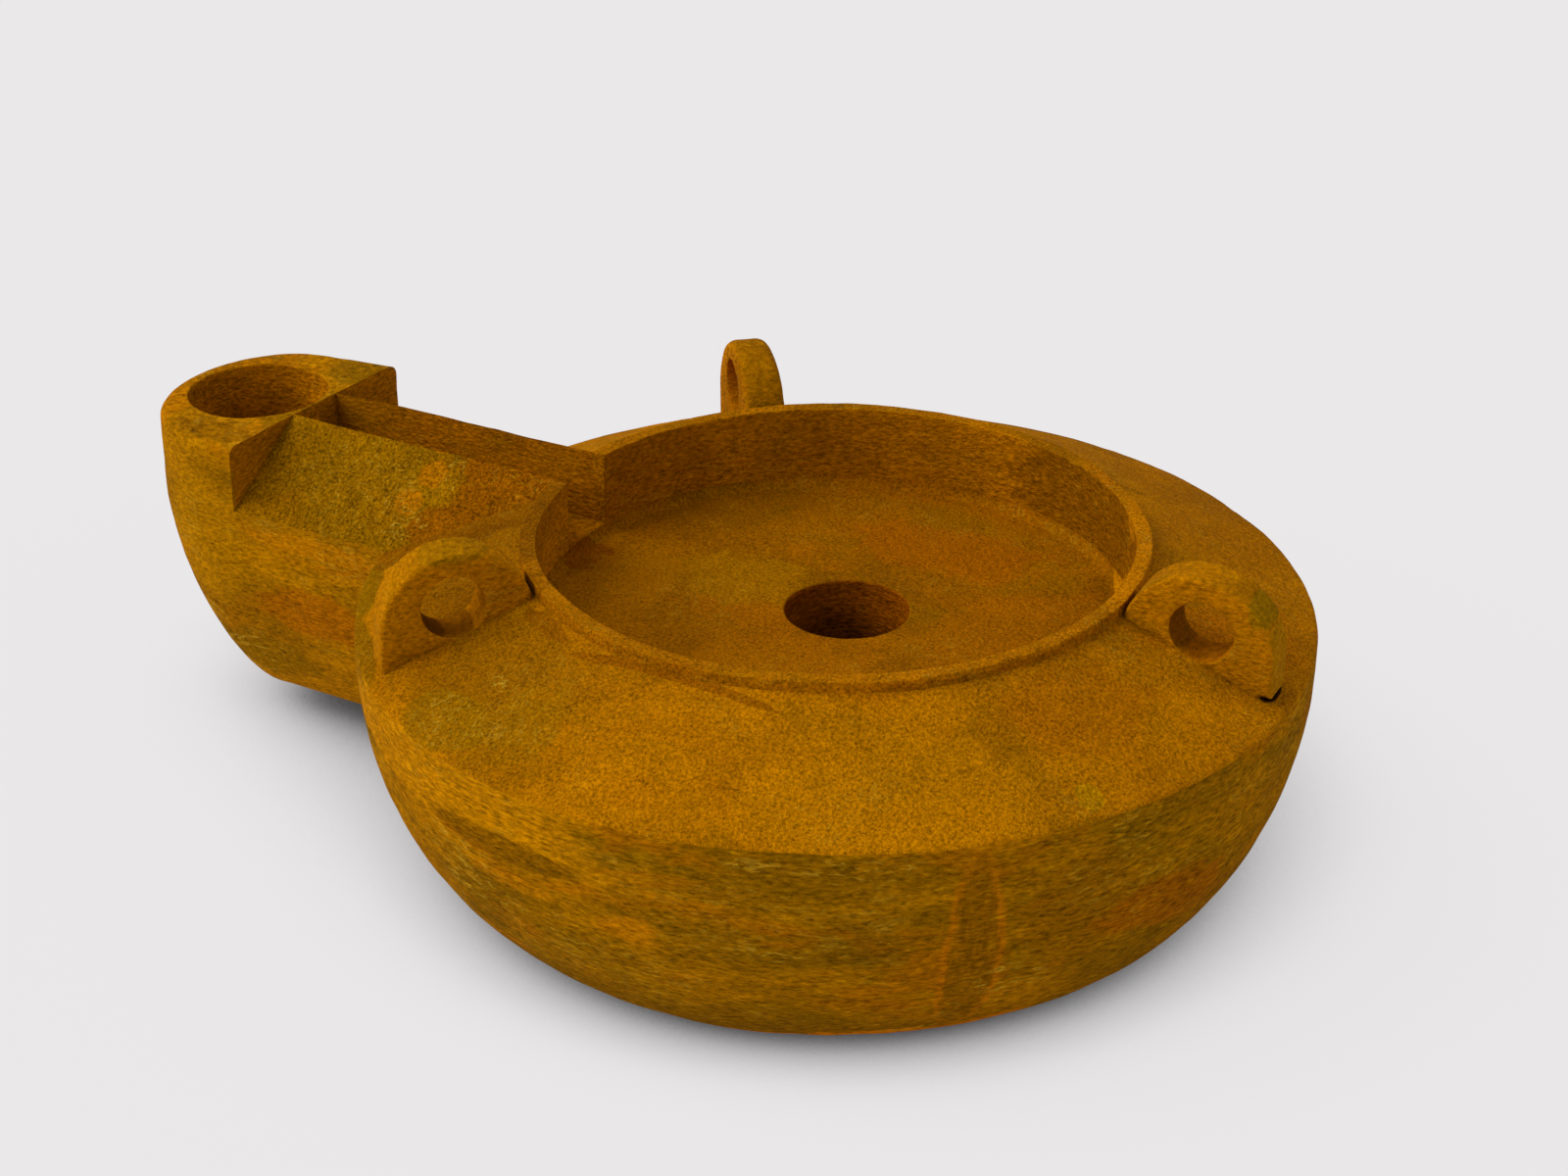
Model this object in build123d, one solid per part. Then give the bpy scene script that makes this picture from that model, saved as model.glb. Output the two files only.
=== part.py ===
from build123d import *

import os
from math import cos, pi, radians

# An open-channel oil lamp of moulded, fired clay.
# Frame: millimetres, +Z up. The origin is on the table, under the middle of the round body.
# The nozzle points along -X.

# ---- heights above the table -------------------------------------------------
rim_top = 32.6
shoulder_root = 31.6  # where the sloping shoulder meets the upright rim
shoulder_edge = 26.0  # the lamp's widest line
seam_height = 25.2  # upper and lower mould halves meet here
discus_top = 25.15  # the sunk middle of the lamp's top
panel_edge = 26.2  # outer, lower edge of the neck's sloping panels
nozzle_bottom = 3.6

# ---- round body --------------------------------------------------------------
body_radius = 41.4
base_radius = 22.3
bowl_fullness = (2.24, 2.11)  # exponents of the bowl's side curve
wall = 3.0
base_thickness = 3.0
base_groove_radius = 19.0
base_groove_size = 0.8
shoulder_edge_rounding = 0.5

# ---- rim and discus ----------------------------------------------------------
rim_outer_radius = 27.0
rim_inner_radius = 25.6
rim_rounding = 0.25
cove_radius = 0.9  # hollow fillet where the discus meets the rim's wall
filling_hole_radius = 5.4
filling_hole_x = 1.0
filling_hole_y = 0.55
filling_collar_radius = 7.9
filling_collar_depth = 3.6  # below the discus floor, inside the reservoir
hole_edge_rounding = 0.2

# ---- nozzle ------------------------------------------------------------------
head_middle_x = -59.0  # centre of the head's round front
head_radius = 11.95
head_back_x = -55.9
head_rounding = 1.0
wick_hole_x = -62.7
wick_hole_radius = 6.5
nozzle_keel = 3.05  # half width of the nozzle's flat underside
nozzle_fullness = (1.75, 1.48)
channel_width = 5.9
channel_wall = 2.2

# ---- suspension lugs ---------------------------------------------------------
lug_thickness = 3.7
lug_middle = 33.5  # radius of the lug's round top from the lamp's axis
lug_radius = 6.55
lug_middle_height = 30.05
lug_hole_middle = 33.9
lug_hole_height = 31.85
lug_hole_radius = 2.7
lug_edge_rounding = 0.45
lug_angles = {"lug_rear": 2.8, "lug_right": 132.5, "lug_left": 228.5}
rear_lug_gap = (39.2, 26.9)  # beyond this radius the rear lug ends at this height, clear below

# ---- side curves -------------------------------------------------------------
curve_points = 14
foot_crowding = 0.8  # below 1, more of the curve's points lie near its foot
cavity_foot = (1.6, 0.8)  # how far in, and how high up, the cavity's lowest stretch leans

# ---- reach of the cuts and of pieces that run into each other ------------------
through = 40  # longer than any cut is deep
inside_rim_x = -20  # a place on the nozzle's line well inside the rim
passage_end_x = -28  # the nozzle's cavity runs this far into the bowl
trough_end_x = -25
fill_bottom = 15


def full_curve(low, high, narrow, wide, fullness):
    """Points from (narrow, low) up to (wide, high) on a bulging side.

    Half width = narrow + (wide - narrow) * (1 - t^a)^(1/b), where t runs from 0 at the top
    to 1 at the foot.
    The points crowd towards the foot, where the side turns under.
    """
    a, b = fullness
    points = []
    for step in range(curve_points + 1):
        t = max(cos(pi / 2 * step / curve_points), 0) ** foot_crowding
        reach = (1 - t**a) ** (1 / b)
        points.append((narrow + (wide - narrow) * reach, high - (high - low) * t))
    return points


def side_face(points, extra):
    """A closed section in the XZ plane: a spline along the points, then straight runs
    through the extra ones."""
    curve = Spline(*[(x, 0, z) for x, z in points])
    rest = Polyline(*[(x, 0, z) for x, z in [points[-1], *extra, points[0]]])
    return make_face([curve, rest])


def revolved(points):
    """A full turn about the lamp's axis of a closed section given as (radius, height) points."""
    return revolve(make_face(Polyline(*[(x, 0, z) for x, z in points], close=True)), Axis.Z)


def upright_box(x_low, x_high, half_width, z_low, z_high):
    """A box centred on the nozzle's line."""
    box = Box(x_high - x_low, 2 * half_width, z_high - z_low)
    return Pos((x_low + x_high) / 2, 0, (z_low + z_high) / 2) * box


def bowl_curve():
    return full_curve(0, seam_height, base_radius, body_radius, bowl_fullness)


def nozzle_curve():
    return full_curve(nozzle_bottom, seam_height, nozzle_keel, head_radius, nozzle_fullness)


def inner_curve(points, floor):
    """The cavity's side: the outer side moved in by the wall, from the floor's height up."""
    lean, height = cavity_foot
    moved = [(x - wall, z) for x, z in points if z > floor + height]
    return [(moved[0][0] - lean, floor), *moved]


def bowl_solid():
    """The lower half of the round body, filled in."""
    return revolve(side_face(bowl_curve(), [(0, seam_height), (0, 0)]), Axis.Z)


def bowl_cavity():
    """The oil's space in the lower half."""
    points = inner_curve(bowl_curve(), base_thickness)
    return revolve(side_face(points, [(0, seam_height), (0, base_thickness)]), Axis.Z)


def nozzle_form(points, floor, end_x):
    """A trough with a round front: the side curve turned about the head's middle, then
    drawn back along X."""
    section = side_face(points, [(0, seam_height), (0, floor)])
    front = revolve(section, Axis.Z)
    half_run = extrude(Rot(0, 0, 90) * section, end_x - head_middle_x, dir=(1, 0, 0))
    return Pos(head_middle_x, 0, 0) * (front + half_run + mirror(half_run, Plane.XZ))


def nozzle_cavity():
    """The way for oil and wick from the bowl to the wick hole."""
    floor = nozzle_bottom + wall
    return nozzle_form(inner_curve(nozzle_curve(), floor), floor, passage_end_x)


def make_base_disc():
    """Flat base with a fine groove turned near its edge."""
    disc = Pos(0, 0, base_thickness / 2) * Cylinder(base_radius, base_thickness)
    half = base_groove_size / 2
    groove = revolved([(base_groove_radius - half, 0), (base_groove_radius + half, 0),
                       (base_groove_radius, base_groove_size)])
    return disc - groove


def make_bowl_wall():
    """Lower mould half of the round body, open where the nozzle's passage leaves it."""
    base = Pos(0, 0, base_thickness / 2) * Cylinder(base_radius, base_thickness)
    return bowl_solid() - bowl_cavity() - base - nozzle_cavity()


def make_nozzle_trough():
    """Lower mould half of the nozzle, up to the round body."""
    outer = nozzle_form(nozzle_curve(), nozzle_bottom, trough_end_x)
    return outer - bowl_solid() - nozzle_cavity()


def shoulder_profile():
    return [(rim_outer_radius, shoulder_root), (body_radius, shoulder_edge),
            (body_radius, seam_height)]


def shoulder_fill():
    """Everything under the shoulder's surface, to the seam and below it."""
    return revolved([(0, shoulder_root), *shoulder_profile(), (body_radius, fill_bottom),
                     (0, fill_bottom)])


def channel_slot(half_width):
    """The groove's footprint through shoulder and rim, from the discus to the head."""
    return upright_box(head_back_x, inside_rim_x, half_width, fill_bottom, rim_top + wall)


def make_shoulder():
    """Sloping ring between rim and widest line, cut through for the channel and its walls."""
    inner = [(body_radius - wall, seam_height), (rim_outer_radius, shoulder_root - wall - 0.4)]
    ring = revolved([*shoulder_profile(), *inner])
    edge = ring.edges().filter_by(GeomType.CIRCLE).filter_by(
        lambda e: abs(e.radius - body_radius) < 0.01 and abs(e.center().Z - shoulder_edge) < 0.01)
    ring = fillet(edge, shoulder_edge_rounding)
    return ring - channel_slot(channel_width / 2 + channel_wall)


def make_discus_rim():
    """Thin upright rim round the discus, open at the channel above the channel's floor."""
    low = discus_top - wall
    height = rim_top - low
    ring = Cylinder(rim_outer_radius, height) - Cylinder(rim_inner_radius, height)
    ring = Pos(0, 0, rim_top - height / 2) * ring
    top = ring.edges().filter_by(GeomType.CIRCLE).filter_by(
        lambda e: abs(e.center().Z - rim_top) < 0.01)
    ring = fillet(top, rim_rounding)
    gap = upright_box(-body_radius, inside_rim_x, channel_width / 2, low, rim_top + wall)
    return ring - gap


def make_discus_floor():
    """Sunk disc, turned up in a small cove against the rim, with the filling hole and its collar below."""
    low = discus_top - wall
    r = rim_inner_radius
    half_turn = cove_radius * cos(radians(45))
    middle = (r - cove_radius + half_turn, 0, discus_top + cove_radius - half_turn)
    arc = ThreePointArc((r - cove_radius, 0, discus_top), middle, (r, 0, discus_top + cove_radius))
    rest = Polyline((r, 0, discus_top + cove_radius), (r, 0, low), (0, 0, low), (0, 0, discus_top),
                    (r - cove_radius, 0, discus_top))
    disc = revolve(make_face([arc, rest]), Axis.Z)
    disc -= upright_box(-body_radius, inside_rim_x, channel_width / 2, discus_top, rim_top)
    hole_axis = Pos(filling_hole_x, filling_hole_y, low - filling_collar_depth / 2)
    disc += hole_axis * Cylinder(filling_collar_radius, filling_collar_depth)
    disc -= hole_axis * Cylinder(filling_hole_radius, through)
    edge = disc.edges().filter_by(GeomType.CIRCLE).filter_by(
        lambda e: abs(e.radius - filling_hole_radius) < 0.01 and e.center().Z > discus_top - 0.01)
    return fillet(edge, hole_edge_rounding)


def make_channel_floor():
    """Bottom of the channel, flush with the discus."""
    low = discus_top - wall
    half_width = channel_width / 2
    slab = upright_box(head_back_x, inside_rim_x, half_width + channel_wall, low, discus_top)
    beyond = Pos(0, 0, low) * Cylinder(rim_outer_radius, through)
    mouth = upright_box(-body_radius, inside_rim_x, half_width, low, discus_top)
    mouth -= Pos(0, 0, low) * Cylinder(rim_inner_radius, through)
    return (slab - beyond) + mouth


def make_neck(side):
    """One side of the neck: the channel's wall with a flat panel falling from its top to
    the outer edge."""
    inner = channel_width / 2
    foot = inner + channel_wall
    outline = [(inner, rim_top), (head_radius, panel_edge), (head_radius, seam_height),
               (head_radius - wall, seam_height), (foot, discus_top), (inner, discus_top)]
    face = make_face(Polyline(*[(head_back_x, side * y, z) for y, z in outline], close=True))
    prism = extrude(face, inside_rim_x - head_back_x, dir=(1, 0, 0))
    prism -= shoulder_fill() - channel_slot(foot)
    return prism - Pos(0, 0, discus_top) * Cylinder(rim_outer_radius, through)


def make_nozzle_head():
    """Block with a flat back and a round front, with the wick hole through it."""
    front = ThreePointArc((head_middle_x, head_radius, seam_height),
                          (head_middle_x - head_radius, 0, seam_height),
                          (head_middle_x, -head_radius, seam_height))
    back = Polyline((head_middle_x, -head_radius, seam_height),
                    (head_back_x, -head_radius, seam_height),
                    (head_back_x, head_radius, seam_height),
                    (head_middle_x, head_radius, seam_height))
    block = extrude(make_face([front, back]), rim_top - seam_height, dir=(0, 0, 1))
    rim_line = block.edges().filter_by(
        lambda e: e.center().Z > rim_top - 0.01 and e.center().X < head_back_x - 0.01)
    block = fillet(rim_line, head_rounding)
    block -= Pos(wick_hole_x, 0, rim_top) * Cylinder(wick_hole_radius, through)
    edge = block.edges().filter_by(GeomType.CIRCLE).filter_by(
        lambda e: abs(e.radius - wick_hole_radius) < 0.01 and e.center().Z > rim_top - 0.01)
    return fillet(edge, hole_edge_rounding)


def make_lug(name, angle):
    """Pierced half-round plate standing on the shoulder, in line with the lamp's axis."""
    arc_start = (lug_middle + lug_radius, 0, lug_middle_height)
    arc_end = (lug_middle - lug_radius, 0, lug_middle_height)
    arc = ThreePointArc(arc_start, (lug_middle, 0, lug_middle_height + lug_radius), arc_end)
    sides = Polyline(arc_end, (lug_middle - lug_radius, 0, fill_bottom),
                     (lug_middle + lug_radius, 0, fill_bottom), arc_start)
    plate = extrude(make_face([arc, sides]), lug_thickness / 2, both=True, dir=(0, 1, 0))
    outline = plate.edges().filter_by(
        lambda e: abs(abs(e.center().Y) - lug_thickness / 2) < 0.01
        and e.center().Z > fill_bottom + 0.01)
    plate = fillet(outline, lug_edge_rounding)
    hole_axis = Pos(lug_hole_middle, 0, lug_hole_height) * Rot(90, 0, 0)
    plate -= hole_axis * Cylinder(lug_hole_radius, through)
    plate -= shoulder_fill()
    plate -= Pos(0, 0, discus_top) * Cylinder(rim_outer_radius, through)
    if name == "lug_rear":
        start, height = rear_lug_gap
        plate -= upright_box(start, start + through, lug_thickness, fill_bottom, height)
    return Rot(0, 0, angle) * plate


def main():
    os.makedirs("parts", exist_ok=True)
    pieces = {
        "base_disc": make_base_disc(),
        "bowl_wall": make_bowl_wall(),
        "nozzle_trough": make_nozzle_trough(),
        "shoulder": make_shoulder(),
        "discus_rim": make_discus_rim(),
        "discus_floor": make_discus_floor(),
        "channel_floor": make_channel_floor(),
        "neck_left": make_neck(-1),
        "neck_right": make_neck(1),
        "nozzle_head": make_nozzle_head(),
    }
    for name, angle in lug_angles.items():
        pieces[name] = make_lug(name, angle)
    for name, piece in pieces.items():
        export_step(piece, f"parts/{name}.step")


main()
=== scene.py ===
from math import hypot, pi, radians

import bmesh
import bpy
import numpy as np
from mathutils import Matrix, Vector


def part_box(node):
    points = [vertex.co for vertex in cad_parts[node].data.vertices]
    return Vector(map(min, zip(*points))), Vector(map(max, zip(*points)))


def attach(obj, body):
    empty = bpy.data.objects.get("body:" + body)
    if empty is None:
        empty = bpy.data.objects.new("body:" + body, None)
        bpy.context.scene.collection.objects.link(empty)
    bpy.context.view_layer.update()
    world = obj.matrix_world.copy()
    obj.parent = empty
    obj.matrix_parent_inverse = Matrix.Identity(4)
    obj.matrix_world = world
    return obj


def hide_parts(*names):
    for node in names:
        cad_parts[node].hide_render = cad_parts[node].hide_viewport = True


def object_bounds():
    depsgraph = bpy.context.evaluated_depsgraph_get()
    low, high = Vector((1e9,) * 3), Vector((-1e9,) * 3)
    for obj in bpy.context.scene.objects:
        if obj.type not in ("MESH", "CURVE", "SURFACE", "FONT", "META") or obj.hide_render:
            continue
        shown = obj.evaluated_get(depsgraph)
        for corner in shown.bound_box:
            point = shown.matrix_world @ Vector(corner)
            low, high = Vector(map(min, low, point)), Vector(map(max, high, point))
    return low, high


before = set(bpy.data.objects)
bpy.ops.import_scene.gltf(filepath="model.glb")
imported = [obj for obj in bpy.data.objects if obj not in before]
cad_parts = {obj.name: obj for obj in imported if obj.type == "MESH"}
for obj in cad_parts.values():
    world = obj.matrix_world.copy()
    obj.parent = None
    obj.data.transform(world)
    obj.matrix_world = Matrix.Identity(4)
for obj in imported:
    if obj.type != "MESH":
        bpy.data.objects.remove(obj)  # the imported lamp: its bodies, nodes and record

# A moulded, fired-clay oil lamp with an open channel, standing on a pale floor.
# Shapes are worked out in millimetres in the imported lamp's frame and put into meshes in metres.

cad_low, cad_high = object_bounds()
MM = 1000.0


def corners(node):
    """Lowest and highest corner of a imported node, in millimetres."""
    low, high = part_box(node)
    return np.array(low) * MM, np.array(high) * MM


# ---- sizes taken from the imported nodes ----
foot_radius, foot_height = corners("base_disc")[1][[0, 2]]
body_radius = corners("shoulder")[1][1]
seam = corners("shoulder")[0][2]
rim_outer, rim_top = corners("discus_rim")[1][[1, 2]]
rim_inner = corners("discus_floor")[1][1]
discus_low = corners("channel_floor")[0][2]
discus_top = corners("channel_floor")[1][2]
collar_low = corners("discus_floor")[0][2]
head_back, head_radius = corners("nozzle_head")[1][[0, 1]]
head_middle = corners("nozzle_head")[0][0] + head_radius
nozzle_low = corners("nozzle_trough")[0][2]
wall_outside = corners("channel_floor")[1][1]

# ---- sizes that no node's box gives ----
wall = 3.0  # thickness of the bowl's and the nozzle's walls
bowl_fullness = (2.24, 2.11)
nozzle_fullness = (1.75, 1.48)
nozzle_keel = 3.05
shoulder_root, shoulder_edge = 31.6, 26.0
panel_edge = 26.2
channel_half = 2.95
cove = 0.9  # radius of the discus's rounded foot, and how far the channel's floor stands above the discus
hole_place, hole_radius, collar_radius = np.array([1.0, 0.55]), 5.4, 7.9
wick_place, wick_radius = np.array([-62.7, 0.0]), 6.5
lug_middle, lug_radius, lug_half = np.array([33.5, 30.05]), 6.55, 1.85
lug_hole, lug_hole_radius = np.array([33.9, 31.85]), 2.7
lug_angles = {"lug_rear": 2.8, "lug_right": 132.5, "lug_left": 228.5}
rear_gap_start, rear_gap_height = 38.9, 27.05  # the slit under the rear lug's outer end
bury = 0.15  # how far a piece's edge is sunk into its neighbour


# ---- clay surface ----
far_lift, head_skew, head_flattening = 0.38, 0.05, 0.6  # mm, but the skew is a share of y
LATTICE = np.random.default_rng(7).uniform(-1, 1, (32, 32, 32, 3))


def drift(points, size):
    """Smooth random vectors, one for each point.

    A cubic lattice with this spacing holds random vectors. Each point's vector blends those at its eight
    nearest corners, by 3t^2 - 2t^3 along each axis. The lattice repeats every 32 spacings.
    """
    place = points / size
    cell = np.floor(place).astype(int)
    t = place - cell
    t = t * t * (3 - 2 * t)
    total = np.zeros(points.shape)
    for corner in np.ndindex(2, 2, 2):
        i, j, k = np.moveaxis((cell + corner) % 32, -1, 0)
        share = np.prod(np.where(np.array(corner, bool), t, 1 - t), axis=-1, keepdims=True)
        total += share * LATTICE[i, j, k]
    return total


def weathered(points):
    """The points moved by drifts of three sizes, for the dents of hands, ripples and roughness.

    The far side of the body and the far wall of the neck also stand a little higher than the near side, the
    head's far side is a little flattened and its back is a little askew. All pieces share one field, so
    their joints stay shut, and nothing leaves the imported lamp's box.
    """
    moved = points + 0.13 * drift(points, 12.0) + 0.06 * drift(points, 3.4) + 0.03 * drift(points, 1.2)
    x, y, z = points.T
    far = smooth(y, -2.5, 3 + 16.5 * smooth(x, -27, -5)) * smooth(x, -58, -46)
    moved[:, 2] += far_lift * far * smooth(z, 22, 30) * (1 - smooth(z, 33, 36.5))
    moved[:, 0] += head_skew * y * smooth(x, -61, -57) * (1 - smooth(x, -55, -46))
    flattened = smooth(y, 6, 11.5) * np.exp(-(((x + 61) / 4) ** 2)) * smooth(z, 20, 31) * (x < -50)
    moved[:, 1] -= head_flattening * flattened
    return np.clip(moved, np.array(cad_low) * MM, np.array(cad_high) * MM)


def smooth(value, low, high):
    """0 below low, 1 above high, and 3t^2 - 2t^3 between them."""
    t = np.clip((value - low) / (high - low), 0, 1)
    return t * t * (3 - 2 * t)


# ---- sections ----
def traced(corner_list, step, closed=True):
    """A section followed at even steps, its corners (across, up, radius) rounded.

    The arc at a corner touches both sides at radius / tan(half the corner's angle) from it, and its
    points are the middle plus the radius along vectors that turn evenly from one touch to the other.
    """
    points = [np.array(c[:2], float) for c in corner_list]
    stops = []
    for i, (corner, point) in enumerate(zip(corner_list, points)):
        radius = corner[2] if len(corner) > 2 else 0
        if not radius:
            stops.append(point[None])
            continue
        back = points[i - 1] - point
        on = points[(i + 1) % len(points)] - point
        back, on = back / hypot(*back), on / hypot(*on)
        half = np.arccos(np.clip(back @ on, -1, 1)) / 2
        middle = point + (back + on) / hypot(*(back + on)) * radius / np.sin(half)
        reach = radius / np.tan(half)
        start, end = point + back * reach - middle, point + on * reach - middle
        count = max(2, int(np.ceil((pi - 2 * half) * radius / min(step, radius / 2))))
        t = np.linspace(0, 1, count + 1)[:, None]
        way = start * (1 - t) + end * t
        stops.append(middle + radius * way / np.linalg.norm(way, axis=1, keepdims=True))
    parts = []
    for i, stop in enumerate(stops):
        parts.append(stop)
        if i + 1 < len(stops) or closed:
            start, end = stop[-1], stops[(i + 1) % len(stops)][0]
            count = max(1, round(hypot(*(end - start)) / step))
            t = (np.arange(1, count) / count)[:, None]
            parts.append(start * (1 - t) + end * t)
    return np.concatenate(parts)


def side_width(height, low, narrow, wide, fullness):
    """Half width of a bulging side: narrow + (wide - narrow)(1 - t^a)^(1/b).

    Here t falls from 1 at the side's foot to 0 at the seam.
    """
    t = np.clip((seam - height) / (seam - low), 0, 1)
    return narrow + (wide - narrow) * (1 - t ** fullness[0]) ** (1 / fullness[1])


def bowl_width(height):
    return side_width(height, 0.0, foot_radius, body_radius, bowl_fullness)


def nozzle_width(height):
    return side_width(height, nozzle_low, nozzle_keel, head_radius, nozzle_fullness)


def side_levels(low, count):
    """Heights from a side's foot to the seam, closer together near the foot: t = cos(angle)^0.8."""
    t = np.clip(np.cos(pi / 2 * np.arange(count + 1) / count), 0, 1) ** 0.8
    return seam - (seam - low) * t


def shoulder_height(radius):
    """The shoulder is a straight cone from the rim's foot to the lamp's widest line."""
    slope = (shoulder_root - shoulder_edge) / (body_radius - rim_outer)
    return shoulder_root - (radius - rim_outer) * slope


def panel_height(across):
    """The neck's panel falls evenly from the channel's edge to the nozzle's outer edge."""
    slope = (rim_top - panel_edge) / (head_radius - channel_half)
    return rim_top - (across - channel_half) * slope


# ---- meshes ----
sharp_angle = radians(38)


def grid_faces(rows, columns, close_rows=False, close_columns=False):
    """Corner numbers of a grid's quads; a closed direction joins its last line to its first."""
    i = np.arange(rows if close_rows else rows - 1)[:, None]
    j = np.arange(columns if close_columns else columns - 1)[None, :]
    down, right = (i + 1) % rows, (j + 1) % columns
    quad = np.broadcast_arrays(i * columns + j, down * columns + j,
                               down * columns + right, i * columns + right)
    return np.stack(quad, -1).reshape(-1, 4).tolist()


def finish_faces(mesh, finishes):
    """The first finish all over, then each later one on the faces that its test picks."""
    count = len(mesh.polygons)
    middle, normal = np.empty(3 * count), np.empty(3 * count)
    mesh.polygons.foreach_get("center", middle)
    mesh.polygons.foreach_get("normal", normal)
    middle, normal = middle.reshape(-1, 3) * MM, normal.reshape(-1, 3)
    place = np.zeros(count, int)
    mesh.materials.append(finishes[0])
    for i, (finish, test) in enumerate(finishes[1:], 1):
        mesh.materials.append(finish)
        place[test(middle, normal)] = i
    mesh.polygons.foreach_set("material_index", place)


def make_piece(name, points, faces, nodes, slot, finishes, edge=0.0):
    """A piece of the lamp from its points and faces, weathered, welded and turned outwards.

    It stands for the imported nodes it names. The first finish covers it; each later one is a pair of a
    finish and a test, which gets the faces' middles and normals and says which faces take that finish.
    A sharp edge gets a small bevel of the given width.
    """
    mesh = bpy.data.meshes.new(name)
    mesh.from_pydata(weathered(points.reshape(-1, 3)) / MM, [], faces)
    work = bmesh.new()
    work.from_mesh(mesh)
    bmesh.ops.remove_doubles(work, verts=work.verts, dist=2e-6)
    bmesh.ops.dissolve_degenerate(work, edges=work.edges, dist=1e-6)
    bmesh.ops.recalc_face_normals(work, faces=work.faces)
    work.to_mesh(mesh)
    work.free()
    mesh.polygons.foreach_set("use_smooth", np.ones(len(mesh.polygons), bool))
    mesh.set_sharp_from_angle(angle=sharp_angle)
    finish_faces(mesh, finishes)
    piece = bpy.data.objects.new(name, mesh)
    bpy.context.scene.collection.objects.link(piece)
    if edge:
        bevel = piece.modifiers.new("worn_edge", "BEVEL")
        bevel.width = edge / MM
        bevel.segments = 2
        bevel.limit_method = "ANGLE"
        bevel.angle_limit = sharp_angle
    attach(piece, "root")
    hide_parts(*nodes)
    return piece


def ring(section, columns, gap=0.0, shift=None):
    """A section of (radius, height) turned about the lamp's axis, with a gap at the nozzle.

    angle = (2s - 1)(pi - arcsin(gap / radius)) for s from 0 to 1, where the gap is its half width, one for
    the whole section or one for each of its points. The middle moves by shift(radius).
    Returns the points, and the faces with both ends capped where there is a gap.
    """
    radius, height = section[:, 0], section[:, 1]
    is_open = bool(np.any(gap))
    limit = pi - np.arcsin(gap / np.maximum(radius, gap + 1e-9)) if is_open else np.full(len(radius), pi)
    rows = columns + 1 if is_open else columns
    s = np.arange(rows)[:, None] / columns
    angle = (2 * s - 1) * limit
    points = np.stack([radius * np.cos(angle), radius * np.sin(angle),
                       np.broadcast_to(height, angle.shape)], -1)
    if shift is not None:
        points[..., :2] += shift(radius)
    count = len(section)
    faces = grid_faces(rows, count, close_rows=not is_open, close_columns=True)
    if is_open:
        faces += [list(range(count)), list(range((rows - 1) * count, rows * count))]
    return points, faces


def make_foot():
    """The flat base: a disc with a fine groove turned near its edge."""
    groove, half = 19.0, 0.4
    section = traced([(0, foot_height), (foot_radius, foot_height), (foot_radius, 0), (groove + half, 0),
                      (groove, 2 * half), (groove - half, 0), (0, 0)], 0.7, closed=False)
    points, _ = ring(section, 300)
    return points, grid_faces(*points.shape[:2], close_rows=True)


def make_bowl():
    """The round body's lower half, a turned wall with a notch where the nozzle's passage leaves it.

    The notch is as wide as the passage at each height and closes to nothing under the passage's floor, so
    only the points beside it are capped.
    """
    level = side_levels(0.0, 78)
    outside = np.stack([bowl_width(level), level], -1)
    inner_level = level[level > foot_height + 0.8]
    inside = np.stack([bowl_width(inner_level) - wall, inner_level], -1)[::-1]
    lip = traced([tuple(outside[-1]), tuple(inside[0])], 1.0, closed=False)[1:-1]
    floor = [(inside[-1][0] - 1.6, foot_height), (foot_radius, foot_height)]
    section = np.concatenate([outside, lip, inside, floor])
    passage_floor = nozzle_low + wall
    half = (nozzle_width(section[:, 1]) - wall) * smooth(section[:, 1], passage_floor, passage_floor + 1)
    notch = np.where(section[:, 1] > passage_floor, np.maximum(half, 0), 0)
    columns = 470
    points, faces = ring(section, columns, notch)
    beside = np.flatnonzero(notch > 0)
    cap = [int(k) for k in (beside[0] - 1, *beside, beside[-1] + 1)]
    return points, faces[:-2] + [cap, [columns * len(section) + k for k in cap]]


def make_trough():
    """The nozzle's lower half: a section of (distance from the spine, height) drawn along a hairpin path.

    It runs straight from inside the bowl's wall to the head's middle, turns half round it and runs back.
    """
    level = side_levels(nozzle_low, 58)
    outside = np.stack([nozzle_width(level), level], -1)
    floor = nozzle_low + wall
    inner_level = level[level > floor + 0.8]
    inside = np.stack([nozzle_width(inner_level) - wall, inner_level], -1)[::-1]
    keel = traced([(0, nozzle_low), tuple(outside[0])], 0.6, closed=False)[:-1]
    lip = traced([tuple(outside[-1]), tuple(inside[0])], 0.8, closed=False)[1:-1]
    bed = traced([(inside[-1][0] - 1.6, floor), (0, floor)], 0.8, closed=False)
    section = np.concatenate([keel, outside, lip, inside, bed])
    away, height = section[:, 0], section[:, 1]
    stop = -np.sqrt(np.maximum((bowl_width(height) - 1) ** 2 - away**2, 0))
    s = np.arange(46)[:, None] / 46
    along = stop + (head_middle - stop) * s
    run = np.stack([along, np.broadcast_to(-away, along.shape), np.broadcast_to(height, along.shape)], -1)
    turn = -pi / 2 - pi * np.arange(81)[:, None] / 80
    bend = np.stack([head_middle + away * np.cos(turn), away * np.sin(turn),
                     np.broadcast_to(height, (81, len(away)))], -1)
    points = np.concatenate([run, bend, (run * [1, -1, 1])[::-1]])
    rows, count = points.shape[:2]
    faces = grid_faces(rows, count)
    faces += [list(range(count)), list(range((rows - 1) * count, rows * count))]
    return points, faces


def make_shoulder():
    """The sloping cone between rim and widest line, cut through for the channel and its walls."""
    root, underside = rim_outer - bury, 28.2
    section = traced([(root, shoulder_height(root)), (body_radius, shoulder_edge, 0.5), (body_radius, seam),
                      (body_radius - wall, seam), (root, underside)], 0.42)
    return ring(section, 520, wall_outside)


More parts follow.
